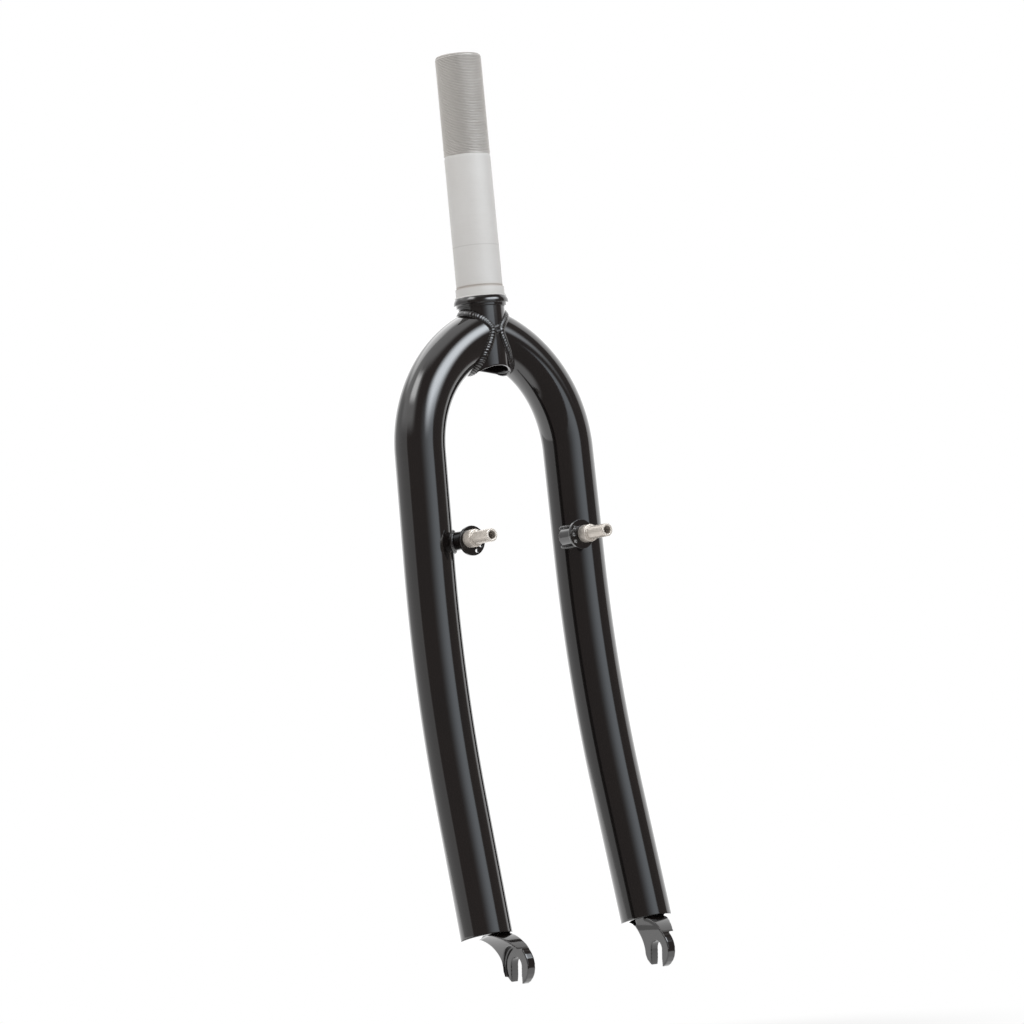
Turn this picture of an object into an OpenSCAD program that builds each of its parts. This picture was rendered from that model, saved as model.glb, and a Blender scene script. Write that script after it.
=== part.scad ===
// Rigid steel bicycle fork with a unicrown: two bent blades mitred and welded
// to the steerer, screwed brake studs, and forged fork ends that cap the blades.
// Millimetres. The origin is on the steerer axis at the crown race shoulder.
// +Z runs up the steerer, +Y is forward and +X is the rider's right.

/* [Steerer] */
// Outer diameter of the steerer
steerer_d = 28.6; // [25.4:0.1:31]
// Wall of the steerer
steerer_wall = 1.6; // [1.2:0.1:3]
// Height of the steerer above the crown race shoulder
steerer_up = 150; // [90:1:300]
// Depth of the steerer below the shoulder, at the top of its arched lower end
steerer_down = 44.5; // [40:0.5:50]
// Radius of the arch cut across the lower end
arch_r = 25; // [20:1:60]
// Length of the thread at the top
thread_l = 63; // [30:1:80]
// Width of the runout groove under the thread
runout_w = 1.2; // [0.6:0.1:3]
// Depth of the runout groove
runout_depth = 0.3; // [0.2:0.05:0.6]
// Width of the relief groove above the crown race seat
relief_w = 0.9; // [0.5:0.1:2]
// Depth of the relief groove
relief_depth = 0.2; // [0.1:0.05:0.4]
// Chamfer round the top edge
top_chamfer = 0.8; // [0.3:0.1:1.1]

/* [Crown race seat] */
// Diameter of the seat that the lower bearing race is pressed on
seat_d = 30; // [29.8:0.1:31]
// Height of the seat
seat_h = 5; // [3:0.5:8]
// Chamfer round the top of the seat
seat_chamfer = 0.3; // [0.1:0.05:0.5]
// Diameter of the shoulder that the race rests on
shoulder_d = 34.2; // [33.6:0.2:40]
// Height of the shoulder
shoulder_h = 5.4; // [4:0.1:6.5]
// Width of the flat land on top of the shoulder
land_w = 0.5; // [0.4:0.1:1]
// Height of the slope from the land to the shoulder's edge
shoulder_slope = 3.2; // [1:0.1:4]
// Diameter of the collar under the shoulder
collar_d = 31.2; // [30.4:0.2:33]
// Height of the collar
collar_h = 1.9; // [1:0.1:2.4]

/* [Blades] */
// Outer diameter of a blade
blade_d = 31.8; // [30:0.2:34]
// Wall of a blade
blade_wall = 1.6; // [1.2:0.1:3]
// How much a bend draws down the blade's radius
bend_draw = 0.05; // [0.02:0.01:0.1]
// Radius of the crown bend, on the blade's axis
crown_r = 78; // [70:1:90]
// Distance between the blades' axes at the foot of the crown bend
crown_w = 112; // [104:1:120]
// Drop from the race shoulder to the top of the blades on the middle plane
crown_drop = 4.7; // [4:0.1:8]
// Radius of the forward bend, on the blade's axis
rake_r = 800; // [600:10:900]
// Angle of the forward bend
rake_angle = 10.3; // [9:0.1:12]

/* [Wheel] */
// Distance from the race shoulder to the axle, along the steerer
axle_drop = 407.3; // [395:0.5:450]
// Distance of the axle in front of the steerer axis
rake = 48.2; // [44:0.5:52]
// Width between the fork ends, for the hub
hub_w = 100; // [96:1:108]
// Width of the axle slot
slot_w = 10.2; // [8:0.1:12]
// Lean of the slot, its open end to the rear
slot_lean = 7.5; // [0:0.5:15]

/* [Fork ends] */
// Thickness of the plate round the axle
plate_t = 5.5; // [4:0.1:7]
// Height of the rim that stands outside that plate
rim_h = 1.7; // [0.8:0.1:2.5]
// Height of the flat inner face that the hub bears on, above the axle
pad_up = 12; // [11.9:0.1:13]
// Step from that face to the neck's inner face
pad_step = 0.2; // [0.1:0.1:0.5]
// Radius of the eye round the axle
eye_r = 11.8; // [10.5:0.1:13]
// Radius of the hollow rear edge
rear_r = 17.2; // [15:0.2:19]
// Radius of the round front edge
front_r = 25.5; // [23:0.5:28]
// Radius of the axle nut's recess
recess_r = 12.2; // [11.4:0.1:12.6]
// Radius of the hollow that sweeps from the rim out to the blade
flare_r = 18; // [16:0.5:20]
// Height of the flare's foot above the axle
flare_up = 1.8; // [0:0.1:4]
// Height of the blade's end above the axle
end_up = 17.9; // [17.4:0.1:21]
// Distance of the blade's end behind the axle
end_back = 20.2; // [19:0.1:22]
// Distance of the blade's axis outside the hub face, at its end
end_out = 10.3; // [9:0.1:12]
// Thickness of the cap that closes the blade
cap_t = 1.6; // [1.4:0.1:2]
// Bevel round the cap's lower edge
cap_bevel = 1.3; // [0.5:0.1:1.5]
// Length of the spigot inside the blade
spigot_l = 10; // [6:1:20]
// Wall of the spigot
spigot_wall = 3; // [2:0.1:4]
// Height of the vent slot in the inner face
vent_h = 2.8; // [2:0.1:3]
// Length of the vent slot
vent_l = 5.4; // [4:0.1:6]

/* [Brake bosses] */
// Distance between the brake studs
boss_w = 87; // [84:0.5:90]
// Height of the studs above the axle
boss_up = 256; // [250:0.5:262]
// Distance of the boss flange in front of the blade's axis
boss_face = 25.4; // [22:0.2:30]
// Distance of the boss's rear end in front of the blade's axis
boss_back = 6.5; // [2:0.5:8]
// Diameter of the boss
boss_d = 12; // [11:0.2:14]
// Diameter of the flange
flange_d = 18.3; // [17.4:0.1:20]
// Thickness of the flange
flange_t = 1.8; // [1.2:0.1:4]
// Distance of the flange's centre inside the stud's axis
flange_in = 2.2; // [1:0.1:2.6]
// Diameter of the spring holes
spring_hole_d = 2.3; // [1.5:0.1:2.8]
// Distance of the spring holes from the stud's axis
spring_hole_r = 8.6; // [8.2:0.1:8.8]
// Angle between the spring holes
spring_hole_step = 30; // [25:1:33]
// Turn of the right flange and its spring holes, downwards
right_turn = 28; // [0:1:40]
// Turn of the left flange and its spring holes, downwards
left_turn = 0; // [0:1:40]

/* [Brake studs] */
// Length of the stud in front of the flange
stud_l = 22.9; // [20:0.1:30]
// Diameter of the stud's base
stud_base_d = 10.8; // [9.8:0.1:11.6]
// Length of the base
stud_base_l = 6.6; // [4:0.1:8]
// Diameter of the pivot that the brake arm turns on
pivot_d = 8; // [7:0.1:9]
// Diameter of the screwed shank inside the boss
shank_d = 7; // [6:0.1:8]
// Length of the shank
shank_l = 12; // [8:0.5:14]
// Diameter of the tapped hole in the tip
tap_d = 5; // [4:0.1:5.4]
// Depth of the tapped hole
tap_l = 15; // [10:0.5:18]
// Chamfer on the stud's edges
stud_chamfer = 0.6; // [0.3:0.1:0.8]

/* [Joints] */
// Size of the weld beads round the crown
crown_bead = 3; // [2:0.1:4]
// Size of the weld beads round the bosses
boss_bead = 2; // [1.4:0.1:3]
// Gap between pieces that fit round each other
fit_gap = 0.1; // [0.05:0.05:0.2]

/* [Hidden] */
$fn = 96;

// Length that runs clear past whatever it cuts
past = 60;
steerer_r = steerer_d / 2;
blade_r = blade_d / 2;
blade_bore = blade_r - blade_wall;
ring_foot = shoulder_h + collar_h;

// Foot of the crown bend: the outer side of the bend crosses the middle plane
// crown_drop below the shoulder.
bend_x = crown_w / 2;
bend_z = -crown_drop - sqrt(pow(crown_r + blade_r, 2) - pow(crown_r - bend_x, 2));

// The blade's end, and the lengths that lead to it
end_x = hub_w / 2 + end_out;
end_y = rake - end_back;
end_z = end_up - axle_drop;
splay = atan((end_x - bend_x) / (bend_z - end_z));
leg_l = norm([end_x - bend_x, bend_z - end_z]);
tail_l = (end_y - rake_r * (1 - cos(rake_angle))) / sin(rake_angle);
straight_l = leg_l - rake_r * sin(rake_angle) - tail_l * cos(rake_angle);

// The boss stands on the straight part of the blade
boss_z = boss_up - axle_drop;

// Points along an arc, from one angle to another
function arc(at, r, from, to, steps = 14) = [
    for (i = [0:steps]) let (a = from + (to - from) * i / steps) at + r * [cos(a), sin(a)]
];

// Outline of the fork end, seen from its side, with the axle at the origin
rear_lean = 4;
rear_bite = 0.3;
neck_front = 6;
front_lean = 35;
rear_at = -(eye_r + rear_r - rear_bite) * [cos(rear_lean), sin(rear_lean)];
front_at = -(front_r - eye_r) * [cos(front_lean), sin(front_lean)];
end_at = [-end_back, end_up];
end_dir = [cos(rake_angle), sin(rake_angle)];
hub_face = hub_w / 2;
rim_x = hub_face + plate_t + rim_h;
// The recess runs out through the front and the foot of the eye
recess_at = [1.2, -1];
vent_at = [-20.7, 15.4];
vent_tilt = -27;

// Frame of a blade: it is built upright in its own plane, then splayed
module in_blade_plane()
    translate([bend_x, 0, bend_z]) rotate([0, -splay, 0]) children();

module at_blade_end()
    in_blade_plane() translate([0, 0, -straight_l]) translate([0, rake_r, 0])
        rotate([rake_angle, 0, 0]) translate([0, -rake_r, -tail_l]) children();

// Mirrors a piece of the right side to the left side
module on_side(side)
    if (side == "right") children(); else mirror([1, 0, 0]) children();

// Crown bend, a quarter turn of a round section
module crown_bend(outer, inner)
    in_blade_plane() translate([-crown_r, 0, 0]) rotate([90, 0, 0])
        rotate_extrude(angle = 90) translate([crown_r, 0]) section(outer, inner);

module section(outer, inner)
    difference() {
        circle(r = outer);
        if (inner > 0) circle(r = inner);
    }

module straight_part(outer, inner)
    in_blade_plane() translate([0, 0, -straight_l]) linear_extrude(straight_l) section(outer, inner);

module rake_bend(outer, inner)
    in_blade_plane() translate([0, rake_r, -straight_l]) rotate([0, 90, 0])
        rotate([0, 0, -90]) rotate_extrude(angle = rake_angle)
            translate([rake_r, 0]) section(outer, inner);

module tail_part(outer, inner)
    at_blade_end() linear_extrude(tail_l) section(outer, inner);

// Everything on the far side of the middle plane, cut away from a crown piece
module other_side()
    translate([-2 * past, -past, -2 * past]) cube([2 * past, 2 * past, 2 * past]);

module steerer_bar(grow)
    translate([0, 0, -2 * past]) cylinder(r = steerer_r + grow, h = 2 * past + steerer_up);

module steerer_tube() {
    bore = steerer_r - steerer_wall;
    low = -steerer_down - arch_r;
    groove_z = steerer_up - thread_l - runout_w;
    color("lightgray") difference() {
        rotate_extrude() polygon([
            [bore, low], [steerer_r, low],
            [steerer_r, seat_h], [steerer_r - relief_depth, seat_h],
            [steerer_r - relief_depth, seat_h + relief_w], [steerer_r, seat_h + relief_w],
            [steerer_r, groove_z],
            [steerer_r - runout_depth, groove_z + runout_w / 4],
            [steerer_r - runout_depth, groove_z + runout_w * 3 / 4],
            [steerer_r, groove_z + runout_w],
            [steerer_r, steerer_up - top_chamfer],
            [steerer_r - top_chamfer, steerer_up],
            [bore, steerer_up]
        ]);
        translate([0, past, low]) rotate([90, 0, 0]) cylinder(r = arch_r, h = 2 * past);
    }
}

module crown_race_seat() {
    bore = steerer_r + fit_gap;
    seat_r = seat_d / 2;
    shoulder_r = shoulder_d / 2;
    edge = 0.6;
    color("dimgray") rotate_extrude() polygon([
        [bore, -ring_foot], [collar_d / 2, -ring_foot],
        [collar_d / 2, -shoulder_h], [shoulder_r - edge, -shoulder_h],
        [shoulder_r, -shoulder_h + edge], [shoulder_r, -shoulder_slope],
        [seat_r + land_w + edge, -shoulder_slope / 3], [seat_r + land_w, 0], [seat_r, 0],
        [seat_r, seat_h - seat_chamfer], [seat_r - seat_chamfer, seat_h],
        [bore, seat_h]
    ]);
}

module blade(side)
    color("black") on_side(side) {
        difference() {
            crown_bend(blade_r - bend_draw, blade_bore - bend_draw);
            steerer_bar(fit_gap);
            other_side();
        }
        straight_part(blade_r, blade_bore);
        rake_bend(blade_r - bend_draw, blade_bore - bend_draw);
        tail_part(blade_r, blade_bore);
    }

// Bead round the mitre: what lies near both tubes and inside neither
module crown_weld(side)
    color("black") on_side(side) difference() {
        intersection() {
            crown_bend(blade_r + crown_bead, 0);
            steerer_bar(crown_bead);
        }
        crown_bend(blade_r, 0);
        steerer_bar(0);
        other_side();
        translate([0, 0, -ring_foot - fit_gap]) cylinder(r = shoulder_d, h = past);
    }

module boss_bar(r, from, to)
    translate([boss_w / 2, to, boss_z]) rotate([90, 0, 0]) cylinder(r = r, h = to - from);

// Boss: a bar coped to the blade, with an offset flange for the return spring
module boss(side) {
    turn = side == "right" ? right_turn : left_turn;
    color("black") on_side(side) difference() {
        union() {
            boss_bar(boss_d / 2, boss_back, boss_face);
            beside_stud(flange_in, -turn, 0) cylinder(d = flange_d, h = flange_t);
        }
        straight_part(blade_r + fit_gap, 0);
        boss_bar(shank_d / 2 + fit_gap, boss_face - shank_l - 1, boss_face + 1);
        for (i = [-1:1]) beside_stud(spring_hole_r, i * spring_hole_step - turn, 1)
            cylinder(d = spring_hole_d, h = flange_t + 2);
    }
}

// A place on the boss's face, from the stud's axis towards the wheel
module beside_stud(distance, angle, ahead)
    translate([
        boss_w / 2 - distance * cos(angle), boss_face + ahead,
        boss_z + distance * sin(angle)
    ]) rotate([90, 0, 0]) children();

module boss_weld(side)
    color("black") on_side(side) difference() {
        intersection() {
            straight_part(blade_r + boss_bead, 0);
            boss_bar(boss_d / 2 + boss_bead, boss_back, boss_face - flange_t);
        }
        straight_part(blade_r, 0);
        boss_bar(boss_d / 2, -1, boss_face);
    }

module stud(side) {
    neck_l = 1;
    base_r = stud_base_d / 2;
    pivot_r = pivot_d / 2;
    color("tan") on_side(side) translate([boss_w / 2, boss_face, boss_z]) rotate([-90, 0, 0])
        difference() {
            rotate_extrude() polygon([
                [0, -shank_l], [shank_d / 2, -shank_l], [shank_d / 2, 0],
                [base_r, 0], [base_r, stud_base_l - stud_chamfer],
                [base_r - stud_chamfer, stud_base_l],
                [pivot_r + stud_chamfer, stud_base_l],
                [pivot_r + stud_chamfer, stud_base_l + neck_l],
                [pivot_r, stud_base_l + neck_l],
                [pivot_r, stud_l - stud_chamfer],
                [pivot_r - stud_chamfer, stud_l], [0, stud_l]
            ]);
            translate([0, 0, stud_l - tap_l]) cylinder(d = tap_d, h = tap_l + 1);
        }
}

// Side view of the fork end: the eye, and the neck that sweeps up to the blade
module end_side_view() {
    under_cap = end_at - [0, cap_t / 2];
    rear_corner = under_cap - blade_r * end_dir;
    front_corner = under_cap + neck_front * end_dir;
    difference() {
        polygon(concat(
            arc([0, 0], eye_r, 180, 360 + front_lean),
            arc(front_at, front_r, front_lean, 90),
            [front_corner, rear_corner, [rear_corner[0], 0]]
        ));
        translate(rear_at) circle(r = rear_r);
    }
}

// Front view of the fork end: a flat inner face, a rim, and the hollow flare
module end_front_view()
    polygon(concat(
        [[hub_face, -past], [rim_x, -past]],
        arc([rim_x + flare_r, flare_up], flare_r, 180, 95),
        [[end_x + blade_r, past], [hub_face, past]]
    ));

// Axle slot: round at the top and open below
module slot_view()
    rotate(-slot_lean) polygon(concat(
        arc([0, 0], slot_w / 2, 0, 180),
        [[-slot_w / 2, -past], [slot_w / 2, -past]]
    ));

// Turns a side view into a prism between two planes across the fork
module across(from, to)
    translate([from, rake, -axle_drop]) rotate([90, 0, 90]) linear_extrude(to - from) children();

module end_body()
    difference() {
        intersection() {
            across(hub_face, end_x + blade_r) end_side_view();
            translate([0, rake + past, -axle_drop]) rotate([90, 0, 0])
                linear_extrude(2 * past) end_front_view();
        }
        across(hub_face - 1, hub_face + pad_step)
            translate([-past, pad_up]) square([2 * past, past]);
        // The rear of the neck stays inside the blade's outline
        difference() {
            translate([0, -past, end_z - end_up / 2]) cube([2 * past, past + end_y, past]);
            at_blade_end() translate([0, 0, -past]) cylinder(r = blade_r - fit_gap, h = 2 * past);
        }
    }

// Cap under the blade's end, with a hollow spigot inside the blade
module cap() {
    spigot_r = blade_bore - fit_gap;
    at_blade_end() rotate_extrude() polygon([
        [0, -cap_t], [blade_r - cap_bevel, -cap_t], [blade_r, cap_bevel - cap_t],
        [blade_r, 0], [spigot_r, 0],
        [spigot_r, spigot_l], [spigot_r - spigot_wall, spigot_l],
        [spigot_r - spigot_wall, 0], [0, 0]
    ]);
}

// A long hole in the inner face that meets a hole up through the cap
module vent() {
    drill_r = vent_h / 2;
    across(hub_face - 1, end_x) translate(vent_at) rotate(vent_tilt)
        for (step = [-1:1]) translate([step * (vent_l - vent_h) / 2, 0]) circle(r = drill_r);
    at_blade_end() translate([0, 0, -cap_t - vent_h]) cylinder(r = drill_r, h = cap_t + 2 * vent_h);
}

module fork_end(side)
    color("black") on_side(side) difference() {
        union() {
            end_body();
            cap();
        }
        across(hub_face - 1, rim_x + 1) slot_view();
        across(hub_face + plate_t, end_x + blade_d) translate(recess_at) circle(r = recess_r);
        vent();
    }

module right_blade() blade("right");
module left_blade() blade("left");
module right_crown_weld() crown_weld("right");
module left_crown_weld() crown_weld("left");
module right_boss() boss("right");
module left_boss() boss("left");
module right_boss_weld() boss_weld("right");
module left_boss_weld() boss_weld("left");
module right_stud() stud("right");
module left_stud() stud("left");
module right_fork_end() fork_end("right");
module left_fork_end() fork_end("left");

steerer_tube();
crown_race_seat();
right_blade();
left_blade();
right_crown_weld();
left_crown_weld();
right_boss();
left_boss();
right_boss_weld();
left_boss_weld();
right_stud();
left_stud();
right_fork_end();
left_fork_end();
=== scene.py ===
"""Looks, light and camera for a rigid bicycle fork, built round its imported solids.

Metres, with the origin on the steerer axis at the crown race shoulder.
+Z runs up the steerer, +Y forward and +X to the rider's right.
"""
import math

import bmesh
import bpy
import numpy as np
from mathutils import Matrix, Vector


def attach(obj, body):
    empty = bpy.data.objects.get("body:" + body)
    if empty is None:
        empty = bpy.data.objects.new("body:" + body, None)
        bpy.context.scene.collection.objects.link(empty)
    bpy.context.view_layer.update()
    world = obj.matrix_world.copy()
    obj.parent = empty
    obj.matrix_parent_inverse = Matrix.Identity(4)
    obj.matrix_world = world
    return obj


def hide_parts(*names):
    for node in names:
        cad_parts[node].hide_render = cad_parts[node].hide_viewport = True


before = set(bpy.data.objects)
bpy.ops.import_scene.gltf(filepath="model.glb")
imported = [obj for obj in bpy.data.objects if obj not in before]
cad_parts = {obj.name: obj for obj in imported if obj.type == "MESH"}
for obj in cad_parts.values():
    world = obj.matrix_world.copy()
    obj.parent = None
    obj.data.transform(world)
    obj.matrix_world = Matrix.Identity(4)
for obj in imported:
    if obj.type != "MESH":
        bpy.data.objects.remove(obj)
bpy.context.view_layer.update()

scene = bpy.context.scene
MM = 0.001

# Steerer: radii, and heights above the shoulder, in millimetres
STEERER_R = 14.3
STEERER_BORE = 12.7
STEERER_TOP = 150.0
PAINT_TOP = -6.0
GROOVE_LOW = 5.0
GROOVE_HIGH = 5.9
GROOVE_DEPTH = 0.2
TURNED_LINE = 30.6
RELIEF_DEPTH = 0.12
THREAD_START = 87.0
THREAD_END = 149.5
THREAD_PITCH = 25.4 / 26
THREAD_DEPTH = 0.4
ARCH_TOP = -44.5
ARCH_R = 25.0
# The arched foot's worn edge: in from the wall, and up from the foot
FOOT_EDGE = ((0.0, 1.2), (0.0, 0.35), (0.1, 0.1), (0.35, 0.0))

# Crown ring, from the bare race seat down to its painted collar, in millimetres
RING_BORE = 14.4
SEAT_R = 15.0
SEAT_TOP = 5.0
SHOULDER_R = 15.5
CONE_R = 16.1
CONE_LOW = -1.1
RING_R = 17.1
RING_HIGH = -3.2
RING_LOW = -5.4
COLLAR_R = 15.6
COLLAR_LOW = -7.3
PAINT_GAP = 0.02

# Blades, in millimetres and degrees
BLADE_R = 15.9
BLADE_WALL = 1.6
CROWN_R = 78.0
BEND_X = 56.0
BEND_Z = -95.99
SPLAY = 0.84
LEAN = math.radians(-SPLAY)
RAKE_R = 800.0
RAKE_ANGLE = 10.3
STRAIGHT_L = 67.3
TAIL_L = 84.5
SADDLE_R = 14.4
PINCH_R = 14.0
SQUARENESS = 0.30
# The lower end's worn edge: up from the end, and how far the outer wall draws in
END_EDGE = ((0.4, 0.0), (0.12, 0.08), (0.0, 0.3))
END_EDGE_TOP = 1.2

# Brake bosses and studs: radii, and lengths in front of the boss's face, in millimetres
BOSS_X = 43.5
BOSS_Z = -151.3
BOSS_R = 6.0
BOSS_FACE = 25.4
SHANK_R = 3.5
SHANK_L = 12.0
BASE_R = 5.4
BASE_L = 6.6
NECK_R = 4.6
NECK_L = 7.6
PIVOT_R = 4.0
STUD_L = 22.9
STUD_BORE = 2.5
BORE_END = 7.9
DRILL_TIP = 7.0
MIDDLE_R = 0.02

# Welds, in millimetres and degrees
BRIDGE = ((-2.6, -20.6), (2.6, -21.6), (-2.2, -23.4), (2.2, -24.6))
BRIDGE_WIDTH = 1.7
BOSS_WELD_REACH = 112.0

# Fork ends, in millimetres. The hood's points at HOOD_BELOW under the blade's end
# are brought up to HOOD_RAISED
HOOD_BELOW = (0, 1.75, 2.6, 14.0)
HOOD_RAISED = (0, 0.3, 0.75, 14.0)
LOBE_TIP_Z = -413.5
LOBE_TIP_BLEND = 2.5
LOBE_ROUNDS = 45

# Camera, in degrees, metres and the photograph's pixels.
# Azimuths run from +Y towards +X, and the studio's front is where the photograph was taken.
FRONT_AZIMUTH = 36.45
CAMERA_ELEVATION = -4.2
CAMERA_ROLL = -5.42
CAMERA_DISTANCE = 2.55
CAMERA_AIM = (0, 0, -0.2054)
CAMERA_RIGHT = 0.0001
CAMERA_UP = 0.0714
FOCAL_LENGTH_PX = 4170
PHOTO_WIDTH_PX = 1024
SENSOR_WIDTH = 36.0

# Studio
FLOOR_R = 6000.0
FLOOR_Z = -470.0
FLOOR_SIDES = 96
AMBIENT = 0.62
DARK_FRONT = (0.30, 0.265, 0.255, 1.0)
COOL_STRIP = (2.25, 2.45, 2.65, 1.0)


# ---- nodes written as Python expressions ----

class Value:
    """A node's output. An operator on it adds the Math node for that sum."""

    def __init__(self, graph, socket):
        self.graph = graph
        self.socket = socket

    def math(self, operation, *numbers):
        return self.graph.math(operation, self, *numbers)

    def __add__(self, other):
        return self.graph.math("ADD", self, other)

    def __radd__(self, other):
        return self.graph.math("ADD", other, self)

    def __sub__(self, other):
        return self.graph.math("SUBTRACT", self, other)

    def __rsub__(self, other):
        return self.graph.math("SUBTRACT", other, self)

    def __mul__(self, other):
        return self.graph.math("MULTIPLY", self, other)

    def __rmul__(self, other):
        return self.graph.math("MULTIPLY", other, self)

    def __truediv__(self, other):
        return self.graph.math("DIVIDE", self, other)


class Graph:
    """Adds nodes to one tree."""

    def __init__(self, tree):
        self.tree = tree

    def add(self, kind, settings=None, sockets=None):
        """A node with its settings and with the values or links of its sockets."""
        made = self.tree.nodes.new(kind)
        for name, value in (settings or {}).items():
            setattr(made, name, value)
        for name, value in (sockets or {}).items():
            self.feed(made.inputs[name], value)
        return made

    def feed(self, socket, value):
        if isinstance(value, Value):
            self.tree.links.new(value.socket, socket)
        else:
            socket.default_value = value

    def out(self, made, name=0):
        return Value(self, made.outputs[name])

    def get(self, kind, settings=None, sockets=None, name=0):
        """One output of a new node."""
        return self.out(self.add(kind, settings, sockets), name)

    def math(self, operation, *numbers):
        made = self.add("ShaderNodeMath", {"operation": operation})
        for socket, number in zip(made.inputs, numbers):
            self.feed(socket, number)
        return self.out(made)

    def vector(self, operation, *vectors):
        made = self.add("ShaderNodeVectorMath", {"operation": operation})
        for socket, vector in zip(made.inputs, vectors):
            self.feed(socket, vector)
        return self.out(made, "Value" if operation == "DOT_PRODUCT" else "Vector")

    def scaled(self, vector, size):
        return self.get("ShaderNodeVectorMath", {"operation": "SCALE"}, {
            0: vector, "Scale": size}, "Vector")

    def parts(self, vector):
        """The X, Y and Z of a vector."""
        split = self.add("ShaderNodeSeparateXYZ", None, {"Vector": vector})
        return self.out(split, "X"), self.out(split, "Y"), self.out(split, "Z")

    def from_axis(self, x, y):
        """Distance from the upright axis."""
        return self.math("SQRT", x.math("POWER", 2.0) + y.math("POWER", 2.0))

    def between(self, value, low, high):
        """0 below low, 1 above high and a smooth step from one to the other."""
        return self.get("ShaderNodeMapRange", {"interpolation_type": "SMOOTHSTEP"}, {
            "Value": value, "From Min": low, "From Max": high}, "Result")

    def blend(self, factor, first, second):
        """Colour that goes from first to second."""
        made = self.add("ShaderNodeMix", {"data_type": "RGBA"})
        self.feed(made.inputs[0], factor)
        self.feed(made.inputs[6], first)
        self.feed(made.inputs[7], second)
        return Value(self, made.outputs[2])

    def mixed(self, factor, first, second):
        """Surface that goes from first to second."""
        made = self.add("ShaderNodeMixShader")
        for socket, value in zip(made.inputs, (factor, first, second)):
            self.feed(socket, value)
        return self.out(made)


def grey(level):
    return (level, level, level, 1.0)


# ---- finishes ----

def start_material(name):
    """A new material, its graph and the place in it."""
    material = bpy.data.materials.new(name)
    material.use_nodes = True
    graph = Graph(material.node_tree)
    graph.tree.nodes.clear()
    place = graph.get("ShaderNodeTexCoord", name="Object")
    return material, graph, place


def noise(graph, place, scale, detail=2.0, roughness=0.5):
    return graph.get("ShaderNodeTexNoise", None, {
        "Vector": place, "Scale": scale, "Detail": detail, "Roughness": roughness}, "Fac")


def drawn_out(graph, place, scale):
    """Place with its own scale each way, for marks that run round a turned piece."""
    return graph.get("ShaderNodeMapping", None, {"Vector": place, "Scale": scale}, "Vector")


def band(graph, height, middle, half, edge):
    """1 up to half away from a middle height and 0 beyond edge, all in millimetres."""
    off = (height - middle * MM).math("ABSOLUTE")
    return 1 - graph.between(off, half * MM, edge * MM)


def bump(graph, height, strength, distance):
    return graph.get("ShaderNodeBump", None, {
        "Height": height, "Strength": strength, "Distance": distance}, "Normal")


def end_material(graph, sockets):
    surface = graph.add("ShaderNodeBsdfPrincipled", None, sockets)
    graph.add("ShaderNodeOutputMaterial", None, {"Surface": graph.out(surface)})


def black_paint(name, peel=0.10):
    """Gloss black paint: slightly brown, with a faint orange peel."""
    material, graph, place = start_material(name)
    ripple = noise(graph, place, 420.0)
    broad = noise(graph, place, 24.0)
    haze = noise(graph, place, 90.0, 3.0)
    tone = graph.blend(broad, (0.0090, 0.0068, 0.0060, 1.0), (0.0058, 0.0052, 0.0052, 1.0))
    end_material(graph, {
        "Base Color": tone,
        "Roughness": 0.055 + 0.05 * haze,
        "IOR": 1.5,
        "Normal": bump(graph, ripple, peel, 0.00004),
    })
    return material


def blasted_steel(name):
    """Bead-blasted bare steel, with a stained groove, a turned line and a bright run-out
    below the thread."""
    material, graph, place = start_material(name)
    height = graph.parts(place)[2]
    fine = noise(graph, place, 2600.0, 2.0, 0.6)
    patch = noise(graph, place, 45.0, 3.0, 0.55)
    marks = noise(graph, drawn_out(graph, place, (60.0, 60.0, 1100.0)), 1.0)
    stain = band(graph, height, GROOVE_LOW + 0.4, 0.4, 1.3)
    line = band(graph, height, TURNED_LINE, 0.1, 0.5)
    runout = band(graph, height, THREAD_START - 0.6, 0.6, 1.0)
    dark_steel = (0.33, 0.32, 0.31, 1.0)
    tone = graph.blend(patch, (0.515, 0.498, 0.48, 1.0), (0.595, 0.59, 0.58, 1.0))
    tone = graph.blend(0.30 * fine, tone, dark_steel)
    tone = graph.blend(0.18 * marks, tone, (0.62, 0.615, 0.60, 1.0))
    tone = graph.blend(0.45 * stain, tone, (0.30, 0.24, 0.20, 1.0))
    tone = graph.blend(0.35 * line, tone, dark_steel)
    tone = graph.blend(0.35 * runout, tone, (0.62, 0.62, 0.61, 1.0))
    end_material(graph, {
        "Base Color": tone,
        "Metallic": 0.05,
        "Specular IOR Level": 0.25,
        "Roughness": 0.6 + 0.10 * fine,
        "Normal": bump(graph, fine + 0.5 * marks, 0.25, 0.00005),
    })
    return material


def thread_steel(name):
    """Cut thread: a darker, warmer steel, lighter on the crests."""
    material, graph, place = start_material(name)
    x, y, _ = graph.parts(place)
    crest = graph.between(graph.from_axis(x, y), (STEERER_R - THREAD_DEPTH) * MM,
                          STEERER_R * MM)
    patch = noise(graph, place, 60.0, 3.0)
    tone = graph.blend(patch, (0.295, 0.278, 0.258, 1.0), (0.355, 0.340, 0.320, 1.0))
    tone = graph.blend(crest, tone, (0.385, 0.368, 0.35, 1.0))
    end_material(graph, {
        "Base Color": tone,
        "Metallic": 0.3,
        "Roughness": 0.52 + 0.08 * patch,
    })
    return material


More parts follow.
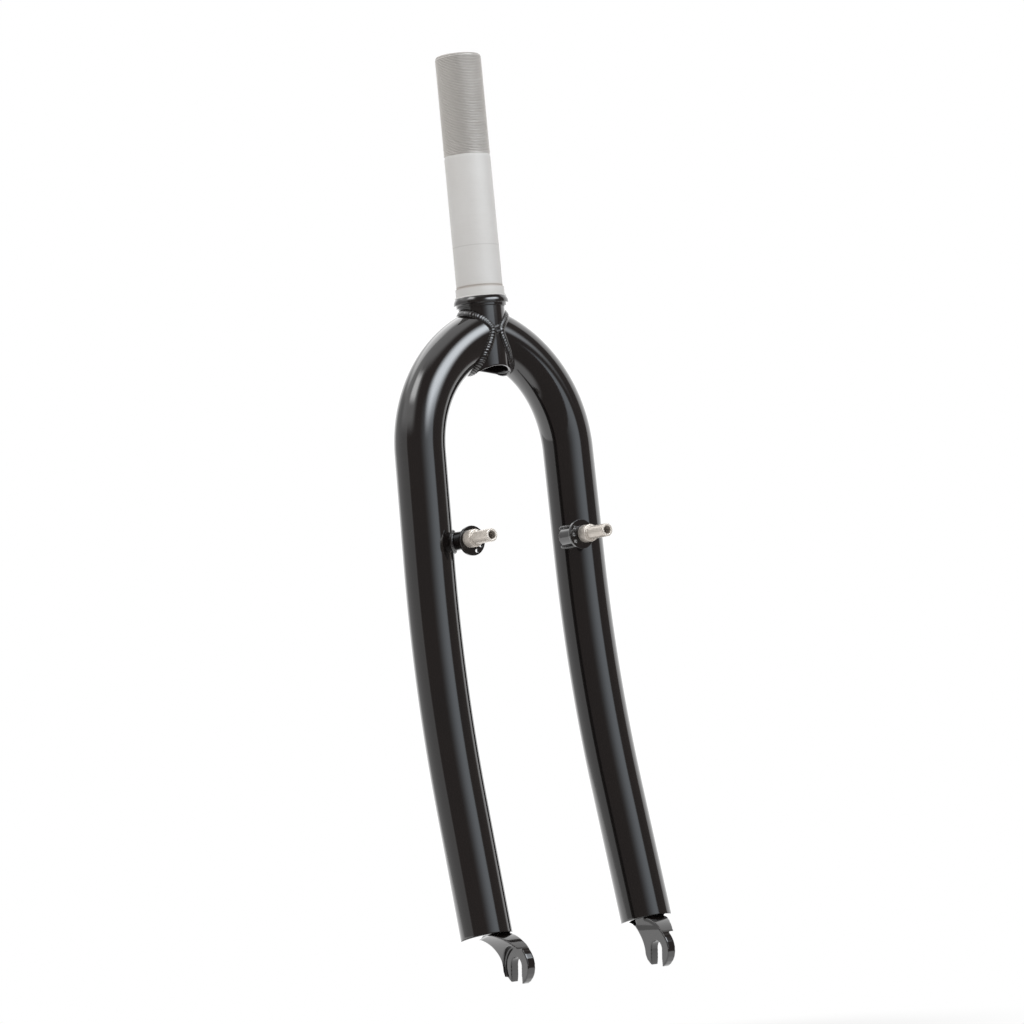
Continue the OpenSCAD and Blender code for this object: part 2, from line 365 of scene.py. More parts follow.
def stud_steel(name):
    """Turned steel of the brake studs, satin and a little warm."""
    material, graph, place = start_material(name)
    marks = noise(graph, drawn_out(graph, place, (250.0, 2600.0, 250.0)), 1.0)
    patch = noise(graph, place, 160.0)
    tone = graph.blend(patch, (0.41, 0.37, 0.325, 1.0), (0.53, 0.49, 0.445, 1.0))
    end_material(graph, {
        "Base Color": tone,
        "Metallic": 0.4,
        "Roughness": 0.38 + 0.12 * marks,
        "Normal": bump(graph, marks, 0.2, 0.00003),
    })
    return material


PAINT = black_paint("black_paint")
FORGED_PAINT = black_paint("forged_paint", 0.16)
WELD_PAINT = black_paint("weld_paint", 0.2)
BARE = blasted_steel("bare_steel")
THREAD = thread_steel("thread_steel")
STUD = stud_steel("stud_steel")


# ---- meshes ----

def finish_piece(piece, material, slot_name, *nodes):
    """Gives a piece its finish, unless its tree has, and ties it to the frame."""
    if material is not None:
        piece.data.materials.clear()
        piece.data.materials.append(material)
    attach(piece, "root")
    if nodes:
        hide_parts(*nodes)


def join_faces(mesh, distance):
    """Merges points that lie within a distance in metres and turns the faces outwards."""
    shell = bmesh.new()
    shell.from_mesh(mesh)
    bmesh.ops.remove_doubles(shell, verts=shell.verts, dist=distance)
    bmesh.ops.recalc_face_normals(shell, faces=shell.faces)
    shell.to_mesh(mesh)
    shell.free()


def object_from(name, points, faces, sharp_angle=40.0):
    """Mesh object from points in millimetres, smooth but for edges past an angle."""
    mesh = bpy.data.meshes.new(name)
    mesh.from_pydata([tuple(p) for p in np.asarray(points) * MM], [], faces)
    join_faces(mesh, 1e-7)
    mesh.shade_smooth()
    mesh.set_sharp_from_angle(angle=math.radians(sharp_angle))
    piece = bpy.data.objects.new(name, mesh)
    scene.collection.objects.link(piece)
    return piece


def closed_rings(rings):
    """Points and faces of a surface through rings of equal count, joined last to first."""
    count = len(rings[0])
    total = len(rings)
    faces = []
    for i in range(total):
        here = i * count
        ahead = (i + 1) % total * count
        for j in range(count):
            beside = (j + 1) % count
            faces.append((here + j, here + beside, ahead + beside, ahead + j))
    return np.concatenate(rings), faces


def around(count):
    """Angles spaced evenly once round, in radians."""
    return np.linspace(0, 2 * np.pi, count, endpoint=False)


def arch_height(across):
    """Height of the steerer's arched foot, above its value on the middle plane."""
    return np.sqrt(ARCH_R ** 2 - across ** 2) - ARCH_R


def turned_rings(profile, segments, arched_below=-math.inf):
    """Rings of a turned piece. Those lower than arched_below follow the steerer's arch."""
    turn = around(segments)
    rings = []
    for radius, height in profile:
        across = radius * np.cos(turn)
        level = np.full(segments, float(height))
        if height < arched_below:
            level = level + arch_height(across)
        rings.append(np.stack([across, radius * np.sin(turn), level], axis=1))
    return rings


def turned(name, profile, material, slot_name, node, sharp_angle=40.0,
           arched_below=-math.inf):
    """Turned piece from a closed profile of (radius, height)."""
    points, faces = closed_rings(turned_rings(profile, 128, arched_below))
    piece = object_from(name, points, faces, sharp_angle)
    finish_piece(piece, material, slot_name, node)


def rounded(corner, before, after, radius, steps=4):
    """Points of a profile round one corner, between its two neighbours."""
    corner = np.array(corner, float)
    back = np.array(before, float) - corner
    ahead = np.array(after, float) - corner
    back /= np.linalg.norm(back)
    ahead /= np.linalg.norm(ahead)
    start = corner + back * radius
    end = corner + ahead * radius
    points = []
    for i in range(steps + 1):
        t = i / steps
        points.append(tuple((1 - t) ** 2 * start + 2 * t * (1 - t) * corner + t ** 2 * end))
    return points


def eased(corners):
    """Closed profile from (radius, height, ease): each corner is rounded by its own ease,
    or left sharp at 0."""
    points = []
    for i, (radius, height, ease) in enumerate(corners):
        corner = (radius, height)
        if ease:
            after = corners[(i + 1) % len(corners)][:2]
            points += rounded(corner, corners[i - 1][:2], after, ease)
        else:
            points.append(corner)
    return points


# ---- steerer ----

def make_steerer():
    core = STEERER_R - THREAD_DEPTH
    grooved = STEERER_R - GROOVE_DEPTH
    relieved = STEERER_R - RELIEF_DEPTH
    split = THREAD_START + 0.6
    turned("steerer_tube", [
        (STEERER_BORE, PAINT_TOP), (STEERER_R, PAINT_TOP), (STEERER_R, GROOVE_LOW),
        (grooved, GROOVE_LOW + 0.1), (grooved, GROOVE_HIGH - 0.1), (STEERER_R, GROOVE_HIGH),
        (STEERER_R, THREAD_START - 1.2), (relieved, THREAD_START - 0.8),
        (relieved, THREAD_START - 0.2), (core, THREAD_START + 0.2), (core, split),
        (STEERER_BORE, split),
    ], BARE, "bare_steel", "steerer_tube", sharp_angle=25.0)
    turned("steerer_top", [
        (STEERER_BORE, split), (core, split), (core, STEERER_TOP - 0.8),
        (core - 0.25, STEERER_TOP - 0.3), (core - 0.6, STEERER_TOP),
        (STEERER_BORE + 0.3, STEERER_TOP), (STEERER_BORE, STEERER_TOP - 0.3),
    ], THREAD, "bare_steel", "steerer_tube", sharp_angle=25.0)
    outer_edge = [(STEERER_R - inward, ARCH_TOP + up) for inward, up in FOOT_EDGE]
    bore_edge = [(STEERER_BORE + inward, ARCH_TOP + up) for inward, up in FOOT_EDGE]
    turned("steerer_foot", [
        (STEERER_BORE, PAINT_TOP - 0.1), (STEERER_R, PAINT_TOP - 0.1), *outer_edge,
        *reversed(bore_edge),
    ], PAINT, "black_paint", "steerer_tube", arched_below=ARCH_TOP + 2.0)


def make_crown_ring():
    """Race seat down to the bare part of its cone, and the painted ring below."""
    turned("race_seat", eased([
        (RING_BORE, CONE_LOW, 0), (CONE_R, CONE_LOW, 0), (SHOULDER_R, 0.0, 0.15),
        (SEAT_R, 0.0, 0), (SEAT_R, SEAT_TOP, 0.3), (RING_BORE, SEAT_TOP, 0),
    ]), BARE, "bare_steel", "crown_race_seat")
    turned("shoulder_ring", eased([
        (RING_BORE, COLLAR_LOW, 0), (COLLAR_R, COLLAR_LOW, 0.3), (COLLAR_R, RING_LOW, 0.5),
        (RING_R, RING_LOW, 0.5), (RING_R, RING_HIGH, 0.9),
        (CONE_R + PAINT_GAP, CONE_LOW - PAINT_GAP, 0.06), (RING_BORE, CONE_LOW - PAINT_GAP, 0),
    ]), PAINT, "black_paint", "crown_race_seat")


# ---- Geometry Nodes ----

def start_shape_tree(name, sizes):
    """A geometry tree with named size inputs. Returns its graph and the inputs."""
    tree = bpy.data.node_groups.new(name, "GeometryNodeTree")
    face = tree.interface
    face.new_socket("Geometry", in_out="INPUT", socket_type="NodeSocketGeometry")
    for label, default in sizes.items():
        size = face.new_socket(label, in_out="INPUT", socket_type="NodeSocketFloat")
        size.default_value = default
    face.new_socket("Geometry", in_out="OUTPUT", socket_type="NodeSocketGeometry")
    graph = Graph(tree)
    entry = graph.add("NodeGroupInput")
    return graph, {label: graph.out(entry, label) for label in ["Geometry", *sizes]}


def unit_sheet(graph, steps_along, steps_over):
    """A flat grid, with its two coordinates from 0 to 1."""
    sheet = graph.get("GeometryNodeMeshGrid", None, {
        "Size X": 1.0, "Size Y": 1.0,
        "Vertices X": steps_along + 1, "Vertices Y": steps_over + 1}, "Mesh")
    x, y, _ = graph.parts(graph.get("GeometryNodeInputPosition"))
    return sheet, x + 0.5, y + 0.5


def moved_to(graph, geometry, place):
    return graph.get("GeometryNodeSetPosition", None, {
        "Geometry": geometry, "Position": place})


def end_shape_tree(graph, geometry, material):
    solid = graph.get("GeometryNodeRealizeInstances", None, {"Geometry": geometry})
    shaded = graph.get("GeometryNodeSetShadeSmooth", None, {"Geometry": solid})
    painted = graph.get("GeometryNodeSetMaterial", None, {
        "Geometry": shaded, "Material": material})
    graph.add("NodeGroupOutput", None, {"Geometry": painted})


def grown(name, start, graph, sizes):
    """Runs a shape tree on the data in start and keeps the result as a plain mesh."""
    base = bpy.data.objects.new(name + "_base", start)
    scene.collection.objects.link(base)
    modifier = base.modifiers.new("shape", "NODES")
    modifier.node_group = graph.tree
    for item in graph.tree.interface.items_tree:
        if item.in_out == "INPUT" and item.name in sizes:
            modifier[item.identifier] = sizes[item.name]
    bpy.context.view_layer.update()
    ready = base.evaluated_get(bpy.context.evaluated_depsgraph_get())
    mesh = bpy.data.meshes.new_from_object(ready)
    mesh.name = name
    piece = bpy.data.objects.new(name, mesh)
    scene.collection.objects.link(piece)
    base.modifiers.clear()
    bpy.data.objects.remove(base)
    return piece


# ---- thread ----

def thread_tree():
    """Screw thread: a grid wound round the tube, with a rounded ridge across each turn."""
    graph, size = start_shape_tree("screw_thread", {
        "Turns": 60.0, "Pitch": 0.001, "Core": 0.0138, "Depth": 0.0005, "Start": 0.087})
    sheet, along, over = unit_sheet(graph, 64 * 72, 5)
    turns = along * size["Turns"]
    angle = turns * math.tau
    ridge = 1 - (2.0 * over - 1.0).math("ABSOLUTE")
    flat_crest = (1.5 * ridge).math("MINIMUM", 1.0)
    from_end = turns.math("MINIMUM", size["Turns"] - turns)
    fade = (from_end * 1.5).math("MINIMUM", 1.0)
    radius = size["Core"] + size["Depth"] * flat_crest * fade
    rise = size["Start"] + size["Pitch"] * (turns + over)
    place = graph.get("ShaderNodeCombineXYZ", None, {
        "X": radius * angle.math("COSINE"), "Y": radius * angle.math("SINE"), "Z": rise})
    end_shape_tree(graph, moved_to(graph, sheet, place), THREAD)
    return graph


def make_thread():
    length = THREAD_END - THREAD_START
    thread = grown("steerer_thread", bpy.data.meshes.new("empty"), thread_tree(), {
        "Turns": length / THREAD_PITCH - 1, "Pitch": THREAD_PITCH * MM,
        "Core": (STEERER_R - THREAD_DEPTH) * MM, "Depth": THREAD_DEPTH * MM,
        "Start": THREAD_START * MM})
    finish_piece(thread, None, "bare_steel")


# ---- blades ----

def to_world(local, side):
    """From a blade's own upright plane to the fork."""
    x = local[..., 0] * math.cos(LEAN) + local[..., 2] * math.sin(LEAN)
    z = -local[..., 0] * math.sin(LEAN) + local[..., 2] * math.cos(LEAN)
    return np.stack([side * (BEND_X + x), local[..., 1], BEND_Z + z], axis=-1)


def flattened(section, share):
    """Sine of the section, made squarer on the bend's inner side towards the steerer."""
    sine = np.sin(section)
    inner = np.clip(-np.cos(section), 0.0, 1.0)
    power = 1.0 - SQUARENESS * share ** 3 * np.minimum(1.0, 2.5 * inner)
    return np.sign(sine) * np.abs(sine) ** power


def saddle_turn(section, radius):
    """How far round the crown bend each line of the wall runs before it meets the steerer."""
    reach = CROWN_R + radius * np.cos(section)
    wide = (PINCH_R - BLADE_R + radius) * flattened(section, 1.0)
    meets = np.sqrt(SADDLE_R ** 2 - wide ** 2)
    return LEAN + np.arccos((meets - BEND_X + CROWN_R * math.cos(LEAN)) / reach)


def crown_point(section, turn, radius, share):
    """Point of the crown bend, which is pinched front to back towards the steerer."""
    reach = CROWN_R + radius * np.cos(section)
    wide = radius - (BLADE_R - PINCH_R) * share ** 2 * (3 - 2 * share)
    return np.stack([reach * np.cos(turn) - CROWN_R, wide * flattened(section, share),
                     reach * np.sin(turn)], axis=-1)


def blade_wall(radius, segments, end_ease):
    """Rings of one wall of a blade, from the saddle down to its lower end."""
    section = around(segments)
    full = saddle_turn(section, radius)
    rings = [crown_point(section, full * share, radius, share)
             for share in np.linspace(1, 0, 56)]
    ring = np.stack([radius * np.cos(section), radius * np.sin(section), 0 * section], axis=-1)
    for drop in np.linspace(0, STRAIGHT_L, 8)[1:]:
        rings.append(ring - [0, 0, drop])
    stations = [(turn, 0.0, 0.0) for turn in np.linspace(0, RAKE_ANGLE, 30)[1:]]
    stations += [(RAKE_ANGLE, drop, 0.0)
                 for drop in np.linspace(0, TAIL_L - END_EDGE_TOP, 10)[1:]]
    stations += [(RAKE_ANGLE, TAIL_L - up, inward) for up, inward in END_EDGE]
    for turn, drop, inward in stations:
        angle = math.radians(turn)
        down = np.array([0, math.sin(angle), -math.cos(angle)])
        ahead = np.array([0, math.cos(angle), math.sin(angle)])
        middle = np.array([0, RAKE_R * (1 - math.cos(angle)),
                           -STRAIGHT_L - RAKE_R * math.sin(angle)]) + down * drop
        size = (radius - inward * end_ease) / radius
        rings.append(middle + size * ring[:, :1] * [1, 0, 0] + size * ring[:, 1:2] * ahead)
    return rings


def make_blade(name, side):
    outside = blade_wall(BLADE_R, 112, 1.0)
    inside = blade_wall(BLADE_R - BLADE_WALL, 112, 0.0)
    rings = [to_world(ring, side) for ring in outside + inside[::-1]]
    points, faces = closed_rings(rings)
    finish_piece(object_from(name, points, faces), PAINT, "black_paint", name)


# ---- welds ----

def bead_tree():
    """Weld bead: a low, bowed section swept along a path, in ripples that overlap.

    The path's points carry the way that the bead faces and half its width. Open fades
    the two ends of a bead that doesn't close on itself."""
    graph, size = start_shape_tree("weld_bead", {
        "Height": 0.0009, "Pitch": 0.0017, "Ripple": 0.00026, "Bow": 0.5, "Open": 0.0,
        "Seed": 3.0})
    line = graph.get("GeometryNodeMeshToCurve", None, {"Mesh": size["Geometry"]})
    length = graph.get("GeometryNodeCurveLength", None, {"Curve": line})
    sheet, along, over = unit_sheet(graph, 1000, 20)
    turn = math.tau * over
    kept = {}
    for name, kind in (("facing", "FLOAT_VECTOR"), ("width", "FLOAT")):
        stored = graph.get("GeometryNodeInputNamedAttribute", {"data_type": kind}, {
            "Name": name}, "Attribute")
        near = graph.add("GeometryNodeSampleCurve", {"mode": "FACTOR", "data_type": kind}, {
            "Curves": line, "Value": stored, "Factor": along})
        kept[name] = graph.out(near, "Value")
    facing = graph.vector("NORMALIZE", kept["facing"])
    across = graph.vector("CROSS_PRODUCT", graph.out(near, "Tangent"), facing)
    middle = graph.out(near, "Position")
    wander = graph.get("ShaderNodeTexNoise", {"noise_dimensions": "4D"}, {
        "Vector": middle, "W": size["Seed"], "Scale": 260.0, "Detail": 1.0}, "Fac")
    bowed = turn.math("COSINE").math("POWER", 2.0)
    phase = along * length / size["Pitch"] + 1.6 * wander - size["Bow"] * bowed
    step = 2.0 * phase.math("FRACT").math("POWER", 0.75) - 1.0
    ripple = size["Ripple"] * (0.6 + 0.8 * wander) * (1.0 - step * step)
    rounding_per_metre = 700.0
    from_end = along.math("MINIMUM", 1.0 - along) * length * rounding_per_metre
    fade = 1.0 - size["Open"] * (1.0 - from_end.math("MINIMUM", 1.0).math("SQRT"))
    wide = turn.math("COSINE") * (kept["width"] + ripple) * fade
    high = turn.math("SINE") * (size["Height"] + ripple) * fade
    place = graph.vector("ADD", middle, graph.scaled(across, wide))
    place = graph.vector("ADD", place, graph.scaled(facing, high))
    joined = graph.get("GeometryNodeMergeByDistance", None, {
        "Geometry": moved_to(graph, sheet, place), "Distance": 0.000001})
    end_shape_tree(graph, joined, WELD_PAINT)
    return graph


def bead_path(points, facing, width, closed):
    """Line of a bead in millimetres, with the way it faces and half its width."""
    mesh = bpy.data.meshes.new("path")
    count = len(points)
    edges = [(i, (i + 1) % count) for i in range(count if closed else count - 1)]
    mesh.from_pydata([tuple(p) for p in np.asarray(points) * MM], edges, [])
    way = mesh.attributes.new("facing", "FLOAT_VECTOR", "POINT")
    way.data.foreach_set("vector", np.asarray(facing, np.float32).ravel())
    half = mesh.attributes.new("width", "FLOAT", "POINT")
    half.data.foreach_set("value", np.asarray(width, np.float32) * MM)
    return mesh


def corner_bead(points, first, second, flat_width, deep_width, depth, closed):
    """Line of a bead in the corner between two surfaces, from the ways these two face.
    The bead is wider and stands further out where the corner is sharper."""
    facing = (first + second) / 2
    level = np.linalg.norm(facing, axis=1, keepdims=True)
    facing = facing / level
    folded = np.sqrt(np.clip(1 - level ** 2, 0, 1))
    width = flat_width + (deep_width - flat_width) * folded[:, 0]
    return bead_path(points + facing * folded * depth, facing, width, closed)


def mitre_path(side):
    """Loop where a blade's outer wall meets the steerer."""
    section = around(240)
    turn = saddle_turn(section, BLADE_R)
    points = to_world(crown_point(section, turn, BLADE_R, 1.0), side)
    on_steerer = points * [1, 1, 0] / np.linalg.norm(points[:, :2], axis=1, keepdims=True)
    outward = np.stack([np.cos(section) * np.cos(turn), np.sin(section),
                        np.cos(section) * np.sin(turn)], axis=1)
    on_blade = to_world(outward, side) - to_world(np.zeros(3), side)
    return corner_bead(points, on_steerer, on_blade,
                       flat_width=2.0, deep_width=2.7, depth=1.35, closed=True)


def bridge_path(face):
    """Short zigzag run of weld that joins the two loops where they come nearest."""
    points = [(x, face * math.sqrt(STEERER_R ** 2 - x ** 2), z) for x, z in BRIDGE]
    facing = [(0, face, 0)] * len(points)
    return bead_path(points, facing, [BRIDGE_WIDTH] * len(points), closed=False)


def boss_path(side):
    """Line where a boss meets the front of its blade."""
    centre = BEND_X + (BEND_Z - BOSS_Z) * math.tan(math.radians(SPLAY))
    reach = math.radians(BOSS_WELD_REACH)
    turn = np.linspace(-reach, reach, 60)
    x = BOSS_X + BOSS_R * np.cos(turn)
    front = np.sqrt(np.clip(BLADE_R ** 2 - (x - centre) ** 2, 0, None))
    points = np.stack([side * x, front, BOSS_Z + BOSS_R * np.sin(turn)], axis=1)
    on_boss = np.stack([side * np.cos(turn), 0 * turn, np.sin(turn)], axis=1)
    on_blade = np.stack([side * (x - centre), front, 0 * turn], axis=1) / BLADE_R
    return corner_bead(points, on_boss, on_blade,
                       flat_width=1.1, deep_width=1.5, depth=0.7, closed=False)


def make_welds(side_name, side, tree):
    """A side's two welds. The bridges join both sides, so they come with the right one."""
    crown = grown(side_name + "_crown_weld", mitre_path(side), tree, {
        "Seed": 3.0 if side > 0 else 8.0})
    finish_piece(crown, None, "black_paint", side_name + "_crown_weld")
    if side > 0:
        for name, face in (("front", 1), ("rear", -1)):
            bridge = grown(name + "_crown_bridge", bridge_path(face), tree, {
                "Open": 1.0, "Seed": 5.0})
            finish_piece(bridge, None, "black_paint")
    boss = grown(side_name + "_boss_weld", boss_path(side), tree, {
        "Height": 0.0007, "Pitch": 0.0011, "Ripple": 0.00012, "Open": 1.0})
    finish_piece(boss, None, "black_paint", side_name + "_boss_weld")


# ---- forged pieces: the solids' own shape, worn round ----

def add_wear(piece, rounds, group=""):
    """Smooths a piece's edges, all over or by the weights of a vertex group."""
    worn = piece.modifiers.new("worn", "SMOOTH")
    worn.factor = 0.5
    worn.iterations = rounds
    worn.vertex_group = group


def keep_shape(piece):
    """Makes the shape that the modifiers give the piece's own, and drops them."""
    bpy.context.view_layer.update()
    piece.data = bpy.data.meshes.new_from_object(
        piece.evaluated_get(bpy.context.evaluated_depsgraph_get()))
    piece.modifiers.clear()


def forged_copy(node, voxel, rounds):
    """The solid's own shape in fine even faces, with its edges worn as on a forging."""
    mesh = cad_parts[node].data.copy()
    join_faces(mesh, 2e-6)
    piece = bpy.data.objects.new(node, mesh)
    scene.collection.objects.link(piece)
    fine = piece.modifiers.new("fine", "REMESH")
    fine.mode = "VOXEL"
    fine.voxel_size = voxel * MM
    add_wear(piece, rounds)
    keep_shape(piece)
    return piece


def finish_forged(piece, node):
    piece.data.shade_smooth()
    finish_piece(piece, FORGED_PAINT, "black_paint", node)


def make_boss(node):
    finish_forged(forged_copy(node, voxel=0.2, rounds=3), node)


def below_blade(points):
    """How far points lie below a blade's lower end, along the raked blade."""
    angle = math.radians(RAKE_ANGLE)
    fall = (BEND_Z - points[:, 2]) - STRAIGHT_L - RAKE_R * math.sin(angle)
    ahead = points[:, 1] - RAKE_R * (1 - math.cos(angle))
    return ahead * math.sin(angle) + fall * math.cos(angle) - TAIL_L


def raised_hood(points):
    """Moves that bring a fork end's hood up close under the blade, where its cap is thin."""
    angle = math.radians(RAKE_ANGLE)
    below = below_blade(points)
    inside = (below > 0) & (below < HOOD_BELOW[-1])
    raised = np.interp(below, HOOD_BELOW, HOOD_RAISED)
    rise = np.where(inside, below - raised, 0)
    return rise[:, None] * np.array([0, -math.sin(angle), math.cos(angle)])


def lobe_softness(points):
    """1 where a fork end is worn rounder: at its two lobes' tips and under its cap."""
    below = below_blade(points)
    under_cap = np.clip((below - 0.5) / 0.8, 0, 1) * np.clip((9.0 - below) / 4.0, 0, 1)
    tips = np.clip((LOBE_TIP_Z - points[:, 2]) / LOBE_TIP_BLEND, 0, 1)
    return np.maximum(under_cap, tips)


def make_fork_end(node):
    """Forged fork end, with its hood raised and its lobes worn rounder than the solid's."""
    piece = forged_copy(node, voxel=0.28, rounds=16)
    vertices = piece.data.vertices
    places = np.empty(len(vertices) * 3, np.float32)
    vertices.foreach_get("co", places)
    places = places.reshape(-1, 3) / MM
    places = places + raised_hood(places)
    vertices.foreach_set("co", (places * MM).astype(np.float32).ravel())
    softness = lobe_softness(places)
    group = piece.vertex_groups.new(name="soft")
    for weight in (0.25, 0.5, 0.75, 1.0):
        near = np.nonzero(np.abs(softness - weight) <= 0.125)[0]
        group.add(near.tolist(), weight, "REPLACE")
    add_wear(piece, LOBE_ROUNDS, "soft")
    keep_shape(piece)
    piece.vertex_groups.clear()
    finish_forged(piece, node)


# ---- studs ----

def make_stud(node, side):
    """Brake stud: screwed shank, base, relieved neck and hollow pivot."""
    profile = eased([
        (0.0, -SHANK_L, 0), (SHANK_R, -SHANK_L, 0.4), (SHANK_R, 0.0, 0),
        (BASE_R, 0.0, 0.3), (BASE_R, BASE_L, 0.5), (NECK_R, BASE_L, 0.2),
        (NECK_R, NECK_L, 0.25), (PIVOT_R, NECK_L, 0.1), (PIVOT_R, STUD_L, 0.5),
        (STUD_BORE, STUD_L, 0.35), (STUD_BORE, BORE_END, 0), (0.0, DRILL_TIP, 0),
    ])
    profile = [(max(radius, MIDDLE_R), height) for radius, height in profile]
    points, faces = closed_rings(turned_rings(profile, 64))
    placed = np.stack([side * BOSS_X + points[:, 0], BOSS_FACE + points[:, 2],
                       BOSS_Z - points[:, 1]], axis=1)
    finish_piece(object_from(node, placed, faces, 30.0), STUD, "stud_steel", node)


# ---- studio ----

def direction(azimuth, elevation):
    """Unit vector out from the fork."""
    turn = math.radians(azimuth)
    rise = math.radians(elevation)
    return Vector((math.sin(turn) * math.cos(rise), math.cos(turn) * math.cos(rise),
                   math.sin(rise)))


def across_and_up(away):
    """The level direction across a line of sight, and the one square to both."""
    level = Vector((0, 0, 1)).cross(away).normalized()
    return level, away.cross(level)


def make_camera():
    """The photograph's viewpoint."""
    back = direction(FRONT_AZIMUTH, CAMERA_ELEVATION)
    level, up = across_and_up(back)
    roll = math.radians(CAMERA_ROLL)
    right = level * math.cos(roll) + up * math.sin(roll)
    top = back.cross(right)
    data = bpy.data.cameras.new("camera")
    data.sensor_width = SENSOR_WIDTH
    data.lens = FOCAL_LENGTH_PX / PHOTO_WIDTH_PX * SENSOR_WIDTH
    data.clip_start = 0.05
    data.clip_end = 100
    camera = bpy.data.objects.new("camera", data)
    scene.collection.objects.link(camera)
    turn = Matrix((right, top, back)).transposed().to_4x4()
    spot = Vector(CAMERA_AIM) + back * CAMERA_DISTANCE + right * CAMERA_RIGHT + top * CAMERA_UP
    camera.matrix_world = Matrix.Translation(spot) @ turn
    scene.camera = camera


def window(graph, value, low, high, soft):
    """1 between low and high, with soft ends."""
    rising = graph.between(value, low - soft, low + soft)
    return rising * (1 - graph.between(value, high - soft, high + soft))


def level_angle(graph, x, y):
    """Direction or place as degrees from the studio's front, towards the camera's right."""
    front = direction(FRONT_AZIMUTH, 0.0)
    right = y * front.x - x * front.y
    return graph.math("ARCTAN2", right, x * front.x + y * front.y) * (180 / math.pi)


def mirror_rays(graph, ray):
    """1 for the rays that show the studio in a surface, and not its light."""
    return graph.out(ray, "Is Glossy Ray") + graph.out(ray, "Is Transmission Ray")


def make_world():
    """White for the camera, the studio's walls and soft boxes for reflections, and an
    even grey for the rest of the light. Angles are in degrees."""
    world = bpy.data.worlds.new("studio")
    world.use_nodes = True
    scene.world = world
    graph = Graph(world.node_tree)
    graph.tree.nodes.clear()
    ray = graph.add("ShaderNodeLightPath")
    x, y, z = graph.parts(graph.get("ShaderNodeTexCoord", name="Generated"))
    angle = level_angle(graph, x, y)
    rise = graph.math("ARCSINE", z) * (180 / math.pi)

    def panel(across, upwards):
        """Soft-edged panel: each way its low end, its high end and its softness."""
        return window(graph, angle, *across) * window(graph, rise, *upwards)

    left_wall = panel((-133.0, -58.0, 5.0), (-12.0, 34.0, 6.0))
    front = window(graph, angle, -58.0, 113.0, 4.0) * (1 - graph.between(rise, 52.0, 68.0))
    glow = panel((-95.0, -28.0, 12.0), (22.0, 60.0, 7.0))
    left_box = panel((-68.0, -36.0, 8.0), (39.0, 56.0, 4.0))
    strip = graph.between(angle, 0.0, 52.0) * (1 - graph.between(angle, 58.0, 65.0))
    strip = strip * window(graph, rise, -14.0, 30.0, 6.0)
    bank = (1 - graph.between(angle, -112.0, -98.0)) * window(graph, rise, 40.0, 78.0, 7.0)
    camera_ray = graph.out(ray, "Is Camera Ray")
    seen = graph.blend(left_wall, grey(2.1), grey(1.15))
    for part, light in ((front, DARK_FRONT), (glow, grey(2.2)), (strip, COOL_STRIP),
                        (bank, grey(5.0)), (left_box, grey(9.0)), (camera_ray, grey(1.0))):
        seen = graph.blend(part, seen, light)
    shows = (camera_ray + mirror_rays(graph, ray)).math("MINIMUM", 1.0)
    colour = graph.blend(shows, grey(AMBIENT), seen)
    backdrop = graph.get("ShaderNodeBackground", None, {"Color": colour, "Strength": 1.0})
    graph.add("ShaderNodeOutputWorld", None, {"Surface": backdrop})


def make_lamp(name, azimuth, elevation, distance, size, power, colour):
    """Soft box aimed at the middle of the fork. Azimuth is from the studio's front,
    towards the camera's right."""
    middle = Vector((0, 0.01, -0.14))
    away = direction(FRONT_AZIMUTH - azimuth, elevation)
    data = bpy.data.lights.new(name, "AREA")
    data.shape = "RECTANGLE"
    data.size = size[0]
    data.size_y = size[1]
    data.energy = power
    data.color = colour
    lamp = bpy.data.objects.new(name, data)
    lamp.location = middle + away * distance
    lamp.rotation_euler = away.to_track_quat("Z", "Y").to_euler()
    lamp.visible_glossy = False
    lamp.visible_camera = False
    scene.collection.objects.link(lamp)


def make_soft_box(name, azimuth, elevation, distance, half, soft, colour):
    """Near soft box that only reflections show: bright in the middle, with faint edges.
    half is its bright half width and height in metres, and soft is half of its edge."""
    crown = Vector((0, 0, -0.07))
    away = direction(FRONT_AZIMUTH - azimuth, elevation)
    level, up = across_and_up(away)
    middle = crown + away * distance
    corners = []
    for x, y in ((-1, -1), (1, -1), (1, 1), (-1, 1)):
        reach = level * (x * (half[0] + soft[0])) + up * (y * (half[1] + soft[1]))
        corners.append(tuple((middle + reach) / MM))
    box = object_from(name, corners, [(0, 1, 2, 3)])
    material, graph, place = start_material(name)
    from_middle = graph.vector("SUBTRACT", place, tuple(middle))
    shows = 1.0
    for way, reach, edge in ((level, half[0], soft[0]), (up, half[1], soft[1])):
        off = graph.vector("DOT_PRODUCT", from_middle, tuple(way)).math("ABSOLUTE")
        shows = shows * (1 - graph.between(off, reach - edge, reach + edge))
    bright = graph.get("ShaderNodeEmission", None, {"Color": colour, "Strength": 1.0})
    surface = graph.mixed(shows, graph.get("ShaderNodeBsdfTransparent"), bright)
    graph.add("ShaderNodeOutputMaterial", None, {"Surface": surface})
    box.data.materials.append(material)
    box.visible_camera = False
    box.visible_diffuse = False
    box.visible_shadow = False


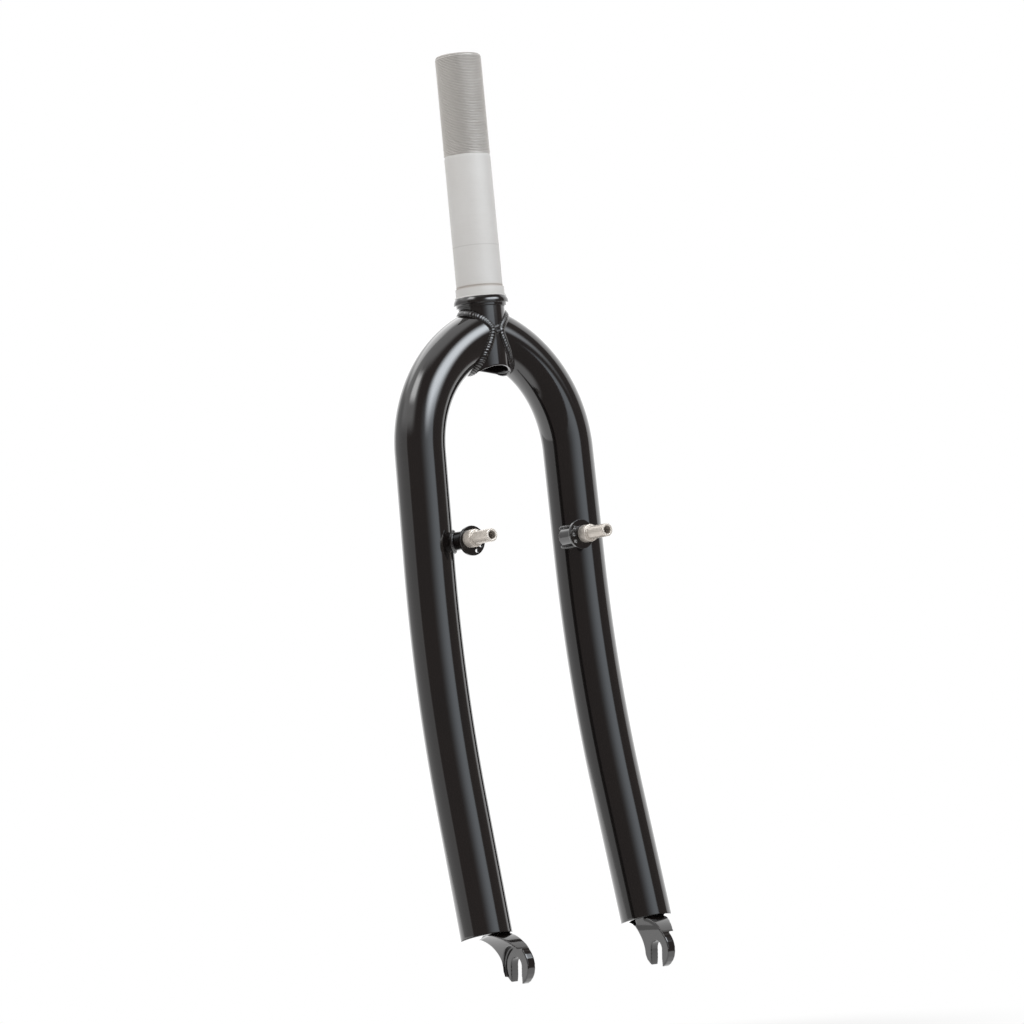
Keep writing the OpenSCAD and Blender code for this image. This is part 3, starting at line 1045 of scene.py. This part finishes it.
def make_floor():
    """Floor that is white for the camera, keeps the fork's shadow and darkens in front
    for reflections. From below it is clear."""
    points = [(math.cos(a) * FLOOR_R, math.sin(a) * FLOOR_R, FLOOR_Z)
              for a in around(FLOOR_SIDES)]
    floor = object_from("floor", points, [tuple(range(FLOOR_SIDES))])
    material, graph, place = start_material("floor_white")
    ray = graph.add("ShaderNodeLightPath")
    x, y, _ = graph.parts(place)
    away = graph.from_axis(x, y)
    dark_part = window(graph, level_angle(graph, x, y), -52.0, 112.0, 5.0)
    dark_part = dark_part * graph.between(away, 0.26, 0.46)
    mirrored = graph.blend(dark_part, grey(2.3), DARK_FRONT)
    white_share = 0.55 + 0.45 * graph.between(away, 0.14, 0.34)
    camera_ray = graph.out(ray, "Is Camera Ray")
    shows = (white_share * camera_ray + mirror_rays(graph, ray)).math("MINIMUM", 1.0)
    matt = graph.get("ShaderNodeBsdfDiffuse", None, {"Color": grey(0.86)})
    bright = graph.get("ShaderNodeEmission", None, {
        "Color": graph.blend(camera_ray, mirrored, grey(1.0)), "Strength": 1.0})
    above = graph.mixed(shows, matt, bright)
    from_below = graph.get("ShaderNodeNewGeometry", name="Backfacing")
    surface = graph.mixed(from_below, above, graph.get("ShaderNodeBsdfTransparent"))
    graph.add("ShaderNodeOutputMaterial", None, {"Surface": surface})
    floor.data.materials.append(material)


# ---- the fork ----

make_steerer()
make_crown_ring()
make_thread()
beads = bead_tree()
for side_name, side in (("right", 1), ("left", -1)):
    make_blade(side_name + "_blade", side)
    make_welds(side_name, side, beads)
    make_stud(side_name + "_stud", side)
    make_boss(side_name + "_boss")
    make_fork_end(side_name + "_fork_end")

make_camera()
make_world()
make_soft_box("key_box", azimuth=52.0, elevation=27.0, distance=1.0,
              half=(0.435, 0.19), soft=(0.23, 0.15), colour=(13.0, 13.8, 14.6, 1.0))
make_lamp("key", azimuth=48.0, elevation=18.0, distance=1.6,
          size=(0.9, 1.4), power=10.0, colour=(0.97, 0.985, 1.0))
make_lamp("fill", azimuth=-60.0, elevation=30.0, distance=1.9,
          size=(1.2, 1.2), power=11.0, colour=(1.0, 0.99, 0.975))
make_floor()
scene.view_settings.view_transform = "Standard"
